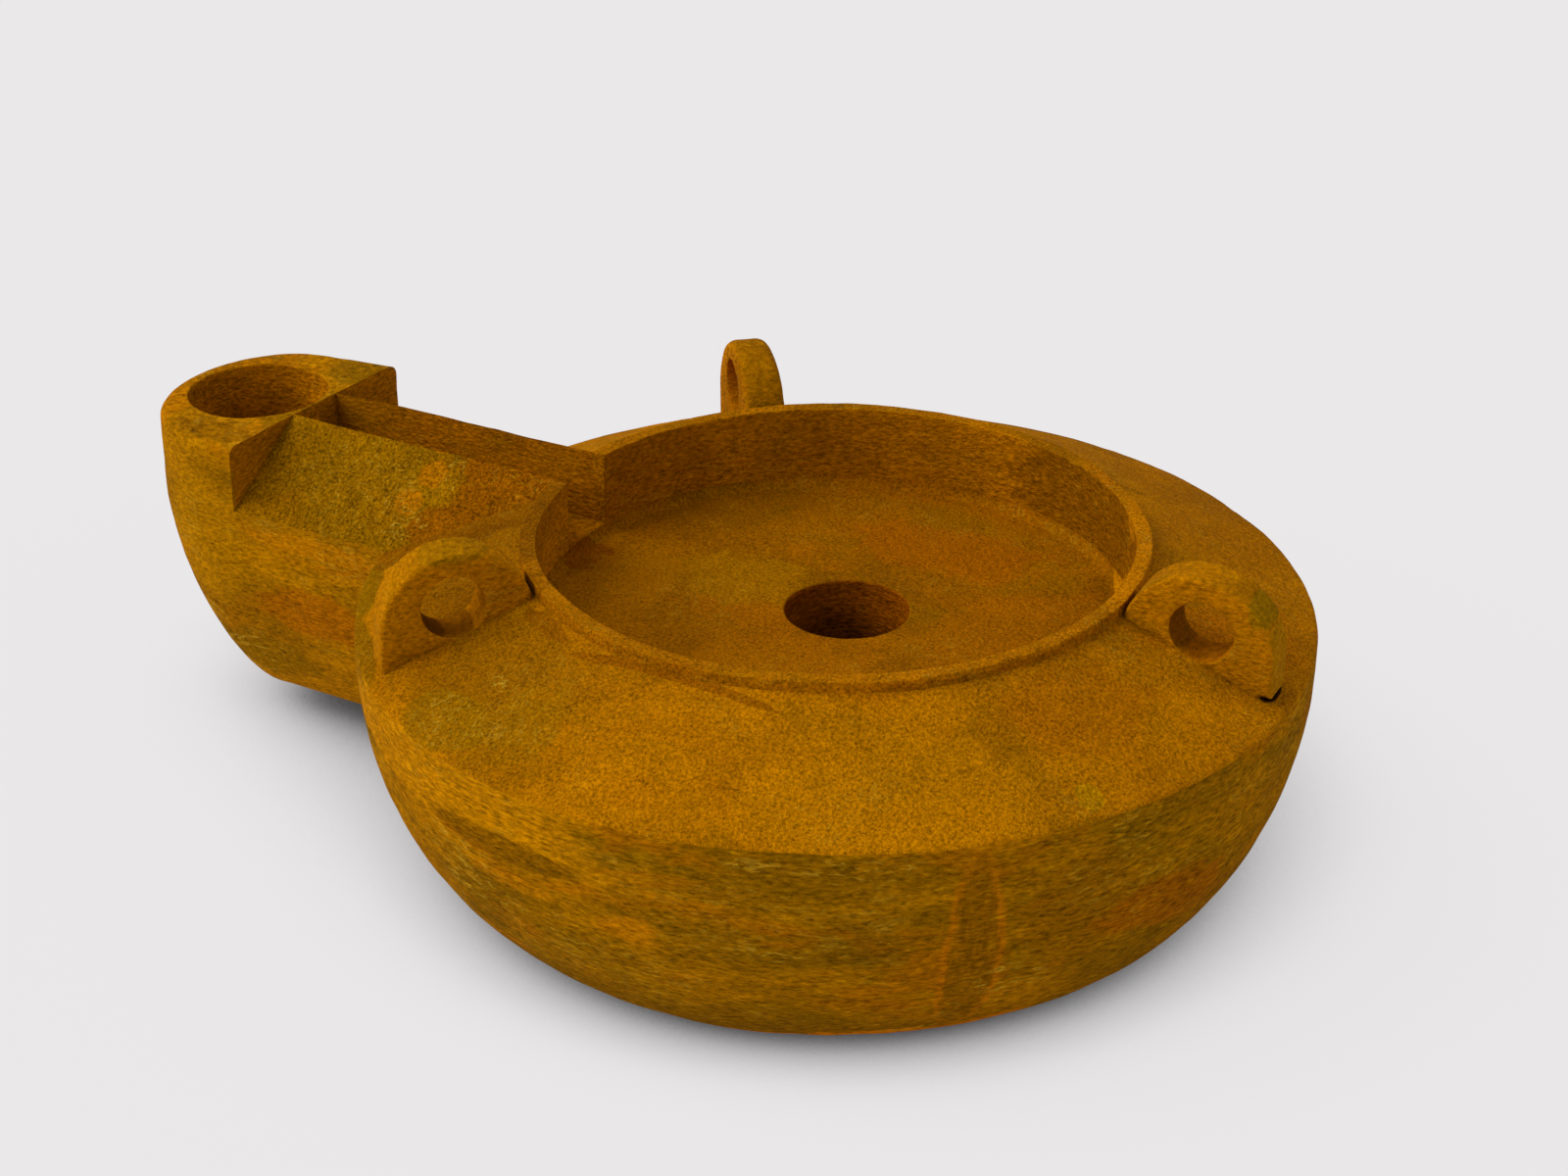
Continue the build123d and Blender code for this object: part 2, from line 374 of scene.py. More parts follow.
def make_rim():
    """The upright rim round the discus, eased at its top edges and open at the channel."""
    section = traced([(rim_outer, discus_low), (rim_outer, rim_top, 0.14), (rim_inner, rim_top, 0.12),
                      (rim_inner, discus_low)], 0.35)
    return ring(section, 460, channel_half)


def make_discus():
    """The sunk disc with its cove, filling hole and collar.

    Rings near the hole are centred on the hole and rings near the rim on the lamp's axis, with the
    middle sliding smoothly between. The cove leads up to the channel's floor as it does to the rim.
    """
    edge = rim_inner + bury
    floor = traced([(hole_radius, collar_low), (hole_radius, discus_top, 0.25),
                    (rim_inner - cove, discus_top)], 0.4, closed=False)
    turn = np.radians(-90 + 90 * np.arange(1, 8) / 7)[:, None]
    bend = np.array([rim_inner - cove, discus_top + cove]) + cove * np.hstack([np.cos(turn), np.sin(turn)])
    under = traced([(edge, discus_top + cove), (edge, discus_low), (collar_radius, discus_low),
                    (collar_radius, collar_low)], 0.8, closed=False)
    section = np.concatenate([floor, bend, under])
    shift = lambda radius: hole_place * (1 - smooth(radius, collar_radius, 24.0))[:, None]
    return ring(section, 400, shift=shift)


def make_channel_floor():
    """The channel's bottom: a slab along the neck, level with the cove's top.

    Its end follows the discus's edge in the channel, and goes on to the rim's outside under the walls.
    """
    top = discus_top + cove
    section = traced([(-wall_outside, top), (wall_outside, top), (wall_outside, discus_low),
                      (-wall_outside, discus_low)], 0.35)
    across = np.abs(section[:, 0])
    under_wall = smooth(across, channel_half, channel_half + 0.3)
    end_radius = rim_inner + bury + (rim_outer - rim_inner - 2 * bury) * under_wall
    stop = -np.sqrt(end_radius**2 - section[:, 0] ** 2)
    start = head_back - bury / 2
    s = np.arange(76)[:, None] / 75
    along = start + (stop - start) * s
    points = np.stack([along, np.broadcast_to(section[:, 0], along.shape),
                       np.broadcast_to(section[:, 1], along.shape)], -1)
    rows, count = along.shape
    faces = grid_faces(rows, count, close_columns=True)
    return points, faces + [list(range(count)), list(range((rows - 1) * count, rows * count))]


def make_neck(side, crust):
    """One side of the neck, its section worked out at each step along the nozzle.

    The panel runs from the channel's edge to the nozzle's outer edge, or to where it sinks into the
    shoulder, found by halving. The underside lies just under the shoulder's cone, and level beyond it.
    The crust's grains stand off the panel by a fine drift.
    """
    x = np.linspace(head_back - bury, -np.sqrt((rim_outer - 2 * bury) ** 2 - channel_half**2), 190)[:, None]
    low, high = np.full(x.shape, channel_half), np.full(x.shape, head_radius)
    for _ in range(24):
        middle = (low + high) / 2
        radius = np.hypot(x, middle)
        above = (radius > body_radius) | (panel_height(middle) > shoulder_height(radius))
        low, high = np.where(above, middle, low), np.where(above, high, middle)
    reach = np.minimum(low + 0.25, head_radius)
    t = np.linspace(0, 1, 64)[None, :]
    panel_y = channel_half + (reach - channel_half) * t
    panel_z = panel_height(panel_y)
    under_y = reach + (channel_half - reach) * np.linspace(0, 1, 16)[None, :]
    radius = np.hypot(x, under_y)
    sunk = np.maximum(shoulder_height(radius) - 0.6, seam)
    under_z = np.where((radius > body_radius) | (under_y < wall_outside), seam, sunk)
    under_z = np.minimum(under_z, panel_height(under_y) - 0.3)
    wall_z = discus_top - 0.1 + (rim_top - discus_top + 0.1) * (np.arange(1, 22) / 22)[None, :]
    wall_z = np.broadcast_to(wall_z, (len(x), 21))
    y = np.concatenate([panel_y, under_y, np.full(wall_z.shape, channel_half)], 1)
    z = np.concatenate([panel_z, under_z, wall_z], 1)
    points = np.stack([np.broadcast_to(x, y.shape), side * y, z], -1)
    grain = drift(points[:, 1:64], 0.75)[..., 2] + 0.6 * drift(points[:, 1:64], 0.42)[..., 1]
    patch = smooth(drift(points[:, 1:64], 6.0)[..., 0], -0.5, 0.3)
    slope = np.array([0, side * (rim_top - panel_edge), head_radius - channel_half])
    points[:, 1:64] += crust * (grain * patch)[..., None] * slope / np.linalg.norm(slope)
    rows, count = y.shape
    faces = grid_faces(rows, count, close_columns=True)
    return points, faces + [list(range(count)), list(range((rows - 1) * count, rows * count))]


def make_head():
    """The nozzle's head, swept round the wick hole.

    An outline with a flat back, straight sides and a half-round front is taken at each inset of its
    rounded top edge; the back stays in place. Each point of the top lies between the hole's circle and
    the outline, on the line from the hole's middle.
    """
    rounding, lip = 1.0, 0.2
    turn = np.radians(90 + 180 * np.arange(101) / 100)
    front = np.stack([np.cos(turn), np.sin(turn)], -1)
    side_t = (np.arange(1, 8) / 8)[:, None]
    back_t = (np.arange(57) / 56)[:, None]

    def outline(inset):
        """The outline from the head's left side round its front and along its back."""
        r = head_radius - inset
        bend = np.array([head_middle, 0]) + r * front
        right = np.hstack([head_middle + (head_back - head_middle) * side_t, -r + 0 * side_t])
        back = np.hstack([head_back + 0 * back_t, r * (2 * back_t - 1)])
        left = np.hstack([head_back + (head_middle - head_back) * side_t, r + 0 * side_t])
        return np.concatenate([bend, right, back, left])

    edge = outline(0)
    out = edge - wick_place
    out /= np.linalg.norm(out, axis=1, keepdims=True)
    rows = []

    def add_row(plan, height):
        rows.append(np.column_stack([plan, np.full(len(plan), height)]))

    for height in np.linspace(seam, rim_top - lip, 20):
        add_row(wick_place + wick_radius * out, height)
    for a in np.radians([30, 60, 90]):
        add_row(wick_place + (wick_radius + lip * (1 - np.cos(a))) * out, rim_top - lip * (1 - np.sin(a)))
    top = outline(rounding)
    inner = wick_place + (wick_radius + lip) * out
    for t in np.arange(1, 20) / 20:
        add_row(inner * (1 - t) + top * t, rim_top)
    for a in np.radians(np.arange(0, 91, 15)):
        add_row(outline(rounding * (1 - np.sin(a))), rim_top - rounding * (1 - np.cos(a)))
    for height in np.linspace(rim_top - rounding, seam, 18)[1:]:
        add_row(edge, height)
    for t in np.arange(1, 8) / 8:
        add_row(edge * (1 - t) + (wick_place + wick_radius * out) * t, seam)
    points = np.stack(rows)
    return points, grid_faces(*points.shape[:2], close_rows=True, close_columns=True)


def make_lug(name):
    """A pierced half-round plate, swept round its hole and turned to its place.

    The outline in the plate's plane is the round top and a foot sunk into the shoulder. Each row of the
    plate's loop lies between the hole's circle and the outline, or round the outline's rounded edges.
    The right lug's edges are worn rounder towards the top.
    """
    angle = np.radians(lug_angles[name])
    eased, worn, lip = 0.35, 0.6 if name == "lug_right" else 0.0, 0.2
    turn = np.radians(180 * np.arange(61) / 60)
    bow = lug_middle + lug_radius * np.stack([np.cos(turn), np.sin(turn)], -1)
    foot_across = np.linspace(bow[-1][0], bow[0][0], 46)
    foot_up = shoulder_height(np.maximum(foot_across, rim_outer - 0.4)) - 0.7
    left = np.column_stack([np.full(5, foot_across[0]), np.linspace(bow[-1][1], foot_up[0], 7)[1:-1]])
    foot_end = foot_up[-1]
    if name == "lug_rear":
        foot_up = np.where(foot_across > rear_gap_start, rear_gap_height, foot_up)
        foot_end = rear_gap_height
    right = np.column_stack([np.full(5, foot_across[-1]), np.linspace(foot_end, bow[0][1], 7)[1:-1]])
    edge = np.concatenate([bow, left, np.column_stack([foot_across, foot_up]), right])
    rounding = eased + worn * smooth(edge[:, 1], 30, 34)
    ahead = np.roll(edge, -1, 0) - np.roll(edge, 1, 0)
    inward = np.stack([-ahead[:, 1], ahead[:, 0]], -1)
    inward /= np.linalg.norm(inward, axis=1, keepdims=True)
    out = edge - lug_hole
    out /= np.linalg.norm(out, axis=1, keepdims=True)
    rows = []

    def add_row(plan, thick):
        rows.append(np.column_stack([plan[:, 0], thick + 0 * plan[:, 0], plan[:, 1]]))

    hole = lug_hole + lug_hole_radius * out
    mouth = lug_hole + (lug_hole_radius + lip) * out
    for thick in np.linspace(-lug_half + lip, lug_half - lip, 9):
        add_row(hole, thick)
    add_row(hole + 0.3 * lip * out, lug_half - 0.3 * lip)
    shelf = edge + rounding[:, None] * inward
    for t in np.arange(13) / 13:
        add_row(mouth * (1 - t) + shelf * t, lug_half)
    for a in np.radians(np.arange(0, 91, 15)):
        add_row(edge + (1 - np.sin(a)) * rounding[:, None] * inward, lug_half - rounding * (1 - np.cos(a)))
    for thick in np.linspace(lug_half - rounding, rounding - lug_half, 8)[1:-1]:
        add_row(edge, thick)
    for a in np.radians(np.arange(90, -1, -15)):
        add_row(edge + (1 - np.sin(a)) * rounding[:, None] * inward, rounding * (1 - np.cos(a)) - lug_half)
    for t in np.arange(12, -1, -1) / 13:
        add_row(mouth * (1 - t) + shelf * t, -lug_half)
    add_row(hole + 0.3 * lip * out, 0.3 * lip - lug_half)
    points = np.stack(rows)
    x, y, z = np.moveaxis(points, -1, 0)
    placed = np.stack([x * np.cos(angle) - y * np.sin(angle),
                       x * np.sin(angle) + y * np.cos(angle), z], -1)
    return placed, grid_faces(*points.shape[:2], close_rows=True, close_columns=True)


# ---- clay finishes ----
def add(tree, kind, values=None, **settings):
    """A new shader node with its settings, its inputs set or linked by place or name."""
    node = tree.nodes.new("ShaderNode" + kind)
    for key, value in settings.items():
        setattr(node, key, value)
    for place, value in (values or {}).items():
        if isinstance(value, bpy.types.NodeSocket):
            tree.links.new(value, node.inputs[place])
        else:
            node.inputs[place].default_value = value
    return node


def noise(tree, where, size, detail=4.0, rough=0.6, stretch=(1, 1, 1), shift=0.0, warp=0.0, turn=0.0):
    """Noise whose features are about size millimetres, longer along an axis with a stretch above 1."""
    place = add(tree, "Mapping", {"Vector": where, "Location": (shift, shift, shift),
                                  "Rotation": (0, 0, turn), "Scale": [MM / size / k for k in stretch]})
    return add(tree, "TexNoise", {"Vector": place.outputs[0], "Scale": 1.0, "Detail": detail,
                                  "Roughness": rough, "Distortion": warp}).outputs[0]


def span(tree, value, low, high, to_low=0.0, to_high=1.0):
    """The value stretched smoothly from low..high to to_low..to_high."""
    return add(tree, "MapRange", {0: value, 1: low, 2: high, 3: to_low, 4: to_high},
               interpolation_type="SMOOTHSTEP").outputs[0]


def calc(tree, operation, a, b=0.0, c=0.0):
    """One step of arithmetic on values or sockets; MULTIPLY_ADD is a times b plus c."""
    return add(tree, "Math", {0: a, 1: b, 2: c}, operation=operation).outputs[0]


def mix(tree, amount, a, b, blend="MIX"):
    """Colour a with as much of colour b as the amount says."""
    return add(tree, "Mix", {0: amount, 6: a, 7: b}, data_type="RGBA", blend_type=blend).outputs[2]


def colour(red, green):
    """Iron-rich clay reflects no blue."""
    return (red, green, 0.0, 1.0)


def round_mark(around, radius, height, deep, along, up, tone=None, amount=1.0):
    """A patch on a round part.

    Its middle is given by angle, radius and height, then come half its depth, length and height, its tone
    and how strong it is.
    """
    a = radians(around)
    return (radius * np.cos(a), radius * np.sin(a), height), around, (deep, along, up), tone, amount


def flat_mark(x, y, height, long, wide, up, tone=None, amount=1.0):
    """A patch on the neck, nozzle or discus: its middle, half its size along each axis, tone and strength."""
    return (x, y, height), 0.0, (long, wide, up), tone, amount


def patch(tree, where, ragged, mark):
    """1 inside the mark's ellipsoid and 0 outside, with a ragged edge, crisper on a small mark."""
    place, turn, reach = mark[:3]
    small = min(reach[:2]) < 3.1 or reach[2] < 1.5
    if small:
        ragged = calc(tree, "MULTIPLY", ragged, 0.35)
    local = add(tree, "Mapping", {"Vector": where, "Location": [k / MM for k in place],
                                  "Rotation": (0, 0, radians(turn)), "Scale": [k / MM for k in reach]},
                vector_type="TEXTURE").outputs[0]
    away = add(tree, "VectorMath", {0: local}, operation="LENGTH").outputs["Value"]
    return span(tree, calc(tree, "ADD", away, ragged), 1.08 if small else 1.12, 0.86 if small else 0.72)


LICHEN = (0.46, 0.245, 0.012, 1)
OLIVE, RUST, SPECK = colour(0.21, 0.094), colour(0.40, 0.112), colour(0.62, 0.29)
crease_shade_reach = 0.0014  # how near another surface stands for the painted crease shade, in metres
grain_depth = 0.00034  # in metres, for a grain of 1


def clay(name, dark, middle, light, olive=0.4, rust=0.3, pale=0.3, stretch=(1, 1, 1), grain=1.0, seed=0.0,
         marks=(), smears=(), lichen=(), contrast=1.0, fleck_size=1.5, cloud_size=13.0, blotchy=0.8,
         streaky=2.2):
    """Fired clay: cloudy ochre with placed marks, lichen flecks, mottling, grain and painted shade in
    creases.

    The clouds run through the dark, middle and light tones, with olive, rust and pale saying how much of
    each lies over them. The marks are painted in turn over the clouds, smears are upright lines inside a
    mark, and lichen flecks crowd inside the lichen patches. The mottling is as long as streaky allows and
    as strong as blotchy says, and all shading grows with the contrast.
    """
    material = bpy.data.materials.new(name)
    material.use_nodes = True
    tree = material.node_tree
    shader = tree.nodes["Principled BSDF"]
    where = add(tree, "TexCoord").outputs["Object"]
    short = tuple(min(k, streaky) for k in stretch)

    cloud = noise(tree, where, cloud_size, 6, 0.6, stretch, seed, 0.5)
    ramp = add(tree, "ValToRGB", {0: cloud})
    ramp.color_ramp.elements[0].position, ramp.color_ramp.elements[0].color = 0.38, colour(*dark)
    ramp.color_ramp.elements[1].position, ramp.color_ramp.elements[1].color = 0.62, colour(*light)
    ramp.color_ramp.elements.new(0.5).color = colour(*middle)
    tone = ramp.outputs[0]

    olive_patch = span(tree, noise(tree, where, 0.7 * cloud_size, 6, 0.6, stretch, seed + 3, 0.9), 0.5, 0.64)
    tone = mix(tree, calc(tree, "MULTIPLY", olive_patch, olive), tone, OLIVE)
    rust_patch = span(tree, noise(tree, where, 0.85 * cloud_size, 6, 0.6, stretch, seed + 7, 0.7), 0.52, 0.64)
    tone = mix(tree, calc(tree, "MULTIPLY", rust_patch, rust), tone, RUST)

    edge_noise = noise(tree, where, 3.0, 6, 0.66, short, seed + 9, 0.6)
    ragged = calc(tree, "MULTIPLY_ADD", edge_noise, 1.8, -0.9)
    for mark in marks:
        amount = calc(tree, "MULTIPLY", patch(tree, where, ragged, mark), mark[4])
        tone = mix(tree, amount, tone, colour(*mark[3]))
    for mark in smears:
        lines = span(tree, noise(tree, where, 0.5, 3, 0.6, (1, 1, 16), seed + 27), 0.42, 0.58, 0.0, mark[4])
        amount = calc(tree, "MULTIPLY", patch(tree, where, ragged, mark), lines)
        tone = mix(tree, amount, tone, colour(*mark[3]))

    fleck = noise(tree, where, fleck_size, 5, 0.68, short, seed + 11, 1.6)
    fleck_cloud = noise(tree, where, 8, 4, 0.6, (1, 1, 1), seed + 13)
    fleck_area = calc(tree, "MULTIPLY", span(tree, fleck_cloud, 0.48, 0.62), pale)
    for mark in lichen:
        amount = calc(tree, "MULTIPLY", patch(tree, where, ragged, mark), mark[4])
        fleck_area = calc(tree, "MAXIMUM", fleck_area, amount)
    tone = mix(tree, calc(tree, "MULTIPLY", span(tree, fleck, 0.515, 0.60), fleck_area), tone, LICHEN)
    speck_noise = noise(tree, where, 0.5, 2, 0.6, short, seed + 21)
    speck = span(tree, speck_noise, 0.62, 0.72, 0.0, 0.4 * min(1, 2 * pale))
    tone = mix(tree, speck, tone, SPECK)

    blotch = noise(tree, where, 2.6, 4, 0.65, tuple(min(k, 3.0) for k in stretch), seed + 15)
    mottle = noise(tree, where, 0.85, 4, 0.72, short, seed + 17)
    fine = noise(tree, where, 0.27, 3, 0.7, short, seed + 19)
    scratch_noise = noise(tree, where, 0.35, 2, 0.5, (30, 1, 30), seed + 23, 0.0, 0.6)
    scratch = span(tree, scratch_noise, 0.66, 0.74, 0.0, 0.12)
    shade = calc(tree, "MULTIPLY_ADD", blotch, blotchy * contrast, 1 - (blotchy + 1.6) * contrast)
    shade = calc(tree, "MULTIPLY_ADD", mottle, blotchy * contrast, shade)
    shade = calc(tree, "MULTIPLY_ADD", fine, 3.2 * contrast, shade)
    shade = calc(tree, "ADD", shade, scratch)
    # Painted shade: the colour is darkened where other surfaces stand near, in creases and hollows.
    crease_shade = add(tree, "AmbientOcclusion", {"Distance": crease_shade_reach}, samples=4).outputs["AO"]
    shade = calc(tree, "MULTIPLY", shade, span(tree, crease_shade, 0.2, 0.72, 0.42, 1.0))
    shade = calc(tree, "MAXIMUM", shade, 0.3)
    tone = add(tree, "VectorMath", {0: tone, 3: shade}, operation="SCALE").outputs[0]
    tree.links.new(tone, shader.inputs["Base Color"])

    height = calc(tree, "MULTIPLY_ADD", fine, 0.8, calc(tree, "MULTIPLY", mottle, 1.1))
    height = calc(tree, "MULTIPLY_ADD", fleck, 0.8, height)
    bump = add(tree, "Bump", {"Strength": 1.0, "Distance": grain_depth * grain, "Height": height})
    tree.links.new(bump.outputs[0], shader.inputs["Normal"])
    rough = span(tree, cloud, 0.38, 0.62, 0.85, 0.97)
    tree.links.new(rough, shader.inputs["Roughness"])
    shader.inputs["Specular IOR Level"].default_value = 0.01
    return material


# ---- stains, lichen, painted shade and a painted highlight, piece by piece ----
ORANGE, UMBER = (0.47, 0.165), (0.14, 0.052)

bowl_marks = [
    round_mark(-112, 41, 24.0, 7, 22, 3.6, (0.50, 0.190), 0.85),
    round_mark(-101, 41, 20.4, 7, 8, 1.3, UMBER, 0.6),
    round_mark(-84, 40, 16.4, 7, 3.2, 1.6, (0.50, 0.170), 0.8),
    round_mark(-100, 40, 17.4, 7, 5.0, 0.9, ORANGE, 0.6),
    round_mark(-58, 41, 16.9, 7, 4.0, 1.4, (0.18, 0.074), 0.5),
    round_mark(-66, 41, 21.5, 7, 9, 1.3, (0.22, 0.094), 0.4),
    round_mark(-92, 38, 9.5, 7, 10, 3.0, (0.29, 0.130), 0.6),
    round_mark(-33, 41, 17.5, 7, 6, 5.5, (0.25, 0.090), 0.6),
    round_mark(-20, 40, 15.5, 7, 7, 2.6, (0.31, 0.088), 0.75),
    round_mark(-9, 41, 20.5, 7, 5, 3.0, (0.33, 0.130), 0.6),
    round_mark(-78, 35, 4.5, 9, 34, 5.0, (0.21, 0.088), 0.8),
    round_mark(-45.6, 39, 14.5, 9, 2.6, 11.5, (0.45, 0.138), 0.9),
    round_mark(-45.6, 39, 14.5, 9, 2.0, 11.0, (0.29, 0.108), 0.95),
    round_mark(-50, 33, 2.4, 9, 18, 3.0, (0.60, 0.175), 0.95),
]
bowl_smears = [round_mark(-45.6, 39, 14.5, 9, 2.2, 11.2, (0.20, 0.075), 0.6)]
bowl_lichen = [
    round_mark(-107, 40, 15.6, 7, 6, 3.6, amount=0.6),
    round_mark(-62, 41, 24.4, 7, 8, 1.2, amount=0.6),
    round_mark(-67, 40, 16.8, 7, 2.6, 1.5, amount=0.75),
    round_mark(-75, 41, 19.0, 7, 11, 4.0, amount=0.3),
    round_mark(-40.5, 39, 11.7, 7, 3.4, 2.2, amount=0.85),
    round_mark(-86, 39, 11.5, 7, 9, 3.0, amount=0.35),
]
shoulder_marks = [
    round_mark(-107, 36.0, 28.2, 5, 6, 4, (0.35, 0.143), 0.7),
    round_mark(-118, 32.0, 29.5, 6.5, 6.0, 4, (0.32, 0.117), 0.85),
    round_mark(-121, 37.0, 27.7, 4.0, 4.0, 4, (0.31, 0.112), 0.7),
    round_mark(-90, 27.2, 31.6, 0.5, 14, 1.2, (0.30, 0.090), 0.8),
    round_mark(-118, 27.9, 31.3, 0.8, 3.4, 1.5, (0.30, 0.095), 0.8),
    round_mark(-130, 28.9, 30.8, 1.4, 2.6, 2, (0.52, 0.215), 0.6),
    round_mark(-114, 39.0, 27.0, 3, 5, 4, (0.31, 0.140), 0.6),
    round_mark(-137, 41.1, 26.2, 1.3, 6.5, 2, (0.27, 0.112), 0.9),
    round_mark(-152, 40.8, 26.2, 1.7, 5.5, 2, (0.27, 0.122), 0.9),
    round_mark(-53, 37.0, 27.7, 7, 13, 4, (0.54, 0.200), 0.6),
    round_mark(-24, 31.5, 29.8, 5, 7, 4, (0.42, 0.132), 0.7),
    round_mark(-31.3, 39.3, 26.8, 1.3, 1.1, 3, (0.46, 0.205), 0.9),
    # Painted shade on the shoulder behind the left lug, where it shows through the hole.
    round_mark(-141, 32.5, 29.4, 4.5, 5.5, 4, (0.24, 0.083), 0.85),
    flat_mark(-31.5, -10.0, 30.0, 9.5, 9.5, 8, (0.26, 0.087), 0.95),
    # Painted shade on the shoulder behind the left lug, where it shows through the hole.
    round_mark(-156, 31.2, 29.9, 4.4, 5.0, 4, (0.20, 0.065), 0.7),
    round_mark(-148, 28.8, 30.9, 3.0, 5.5, 3, (0.32, 0.116), 0.9),
    round_mark(12, 36, 28, 5, 8, 4, (0.44, 0.138), 0.6),
    round_mark(8, 32.8, 29.3, 3.2, 3.2, 3, (0.52, 0.158), 0.8),
    # Painted shadow in the slit under the rear lug's outer end.
    round_mark(2.8, 39.4, 26.8, 0.9, 2.0, 0.8, (0.03, 0.008), 1.0),
    round_mark(50, 35, 28, 8, 14, 4, (0.38, 0.127), 0.6),
]
shoulder_lichen = [
    round_mark(-114, 38.8, 27.0, 2.6, 4.5, 3, amount=0.65),
    round_mark(-113.4, 33.7, 29.0, 0.7, 1.1, 2, amount=0.9),
    round_mark(-8, 28.9, 30.8, 1.6, 2.4, 2, amount=0.6),
    round_mark(-105, 36.2, 28.0, 3, 4, 3, amount=0.5),
]
discus_marks = [
    # Painted shade on the discus where the channel opens into it.
    flat_mark(-24.4, -1.8, 25.1, 2.8, 2.8, 2, (0.21, 0.052), 0.85),
    flat_mark(-9.8, 1.5, 25.1, 7, 5, 3, (0.33, 0.130), 0.75),
    flat_mark(3.0, 15.0, 25.1, 10, 5, 3, (0.34, 0.092), 0.7),
    flat_mark(-19.0, -5.0, 25.1, 5, 9, 3, (0.36, 0.124), 0.6),
    flat_mark(3.5, -13.0, 25.1, 10, 7, 3, (0.38, 0.122), 0.6),
    flat_mark(14.0, 3.0, 25.1, 5, 9, 3, (0.34, 0.105), 0.6),
    flat_mark(-2.9, 3.6, 25.1, 3.2, 3.2, 2, (0.20, 0.070), 0.6),
    # Painted highlight along the cove at the foot of the right-hand wall.
    round_mark(28, 25.1, 25.6, 0.6, 14, 2, (0.52, 0.185), 0.85),
]
rim_marks = [
    # Painted shade on the far wall at the channel's mouth.
    flat_mark(-28.0, 3.1, 27.9, 4.5, 3.2, 2.2, (0.24, 0.076), 0.7),
    round_mark(-157, 26.3, 32.6, 3, 9.5, 1.4, (0.22, 0.073), 0.9),
    round_mark(-38, 26.3, 32.7, 3, 17, 0.5, (0.42, 0.142), 0.85),
    round_mark(20, 26.3, 32.4, 3, 14, 2, (0.50, 0.168), 0.8),
]
wall_marks = [
    # Painted shade at the channel's mouth: its floor and far wall darkened.
    flat_mark(-27.5, 0.0, 25.8, 3.4, 3.4, 0.9, (0.20, 0.072), 0.85),
    flat_mark(-27.6, -0.9, 25.8, 3.0, 2.4, 0.9, (0.17, 0.042), 0.85),
    flat_mark(-28.0, 3.1, 27.9, 4.5, 3.2, 2.2, (0.22, 0.068), 0.7),
    round_mark(55, 25.6, 29, 5, 11, 7, (0.21, 0.071), 0.9),
    round_mark(12, 25.6, 29, 3, 12, 6, (0.24, 0.076), 0.9),
    round_mark(165, 25.6, 29, 3, 10, 6, (0.30, 0.094), 0.8),
]
# Painted shade: the dark crescents on the lug holes' inner walls.
lug_hole_shade_marks = [
    round_mark(228.5, 33.4, 29.3, 1.9, 3, 0.9, (0.22, 0.070), 0.9),
    round_mark(228.5, 35.8, 29.9, 1.7, 3, 1.5, (0.12, 0.036), 0.95),
    round_mark(2.8, 33.8, 29.4, 2.3, 3, 0.9, (0.31, 0.094), 0.9),
    round_mark(2.8, 31.8, 31.6, 1.2, 3, 2.4, (0.21, 0.068), 0.95),
]
nozzle_marks = [
    flat_mark(-60.9, -11.7, 22.5, 5, 6, 7, (0.41, 0.168), 0.7),
    flat_mark(-49.0, -10.9, 17.0, 7, 6, 3.0, (0.38, 0.112), 0.8),
    flat_mark(-58.0, -8.7, 9.5, 7, 6, 3.5, (0.23, 0.103), 0.75),
    flat_mark(-48.0, -12.0, 24.4, 8, 4, 1.1, ORANGE, 0.7),
    flat_mark(-60.8, -9.4, 32.4, 4.6, 1.9, 1, (0.29, 0.108), 0.85),
    flat_mark(-55.5, 9.0, 32.4, 5, 4, 1, (0.25, 0.106), 0.9),
    flat_mark(-55.5, -3.5, 32.4, 3, 4, 1, (0.25, 0.104), 0.9),
    flat_mark(-68.5, -4.0, 32.2, 3.0, 9, 1.6, (0.45, 0.150), 0.6),
]
nozzle_lichen = [
    flat_mark(-58.1, -8.7, 10.6, 5.0, 6, 2.8, amount=0.8),
    flat_mark(-62.0, -8.0, 13.0, 3.5, 5, 2.4, amount=0.6),
]
neck_marks = [
    flat_mark(-29.5, -3.2, 32.0, 7.2, 3.0, 5, (0.31, 0.090), 0.95),
    flat_mark(-30.6, -6.2, 30.3, 5.2, 3.0, 5, (0.32, 0.098), 0.95),
    flat_mark(-33.4, -9.3, 28.3, 5.2, 2.8, 4, (0.32, 0.098), 0.95),
    flat_mark(-38.8, -4.9, 31.2, 1.5, 1.35, 2, (0.47, 0.163), 0.95),
    flat_mark(-39.7, -7.6, 29.3, 1.5, 1.3, 2, (0.50, 0.172), 0.95),
    flat_mark(-54.0, -5.0, 31.0, 3.5, 4.0, 4, (0.32, 0.134), 0.7),
]
neck_lichen = [
    flat_mark(-45.0, -7.5, 29.5, 7.0, 5, 5, amount=0.5),
    flat_mark(-39.0, -9.6, 28.0, 2.6, 1.6, 2, amount=0.9),
    flat_mark(-36.9, -4.6, 31.4, 1.0, 2.6, 2.5, amount=0.85),
    flat_mark(-41.6, -6.0, 30.4, 1.6, 3.4, 3, amount=0.7),
    flat_mark(-40.4, -8.6, 28.7, 1.8, 1.3, 2, amount=0.9),
]
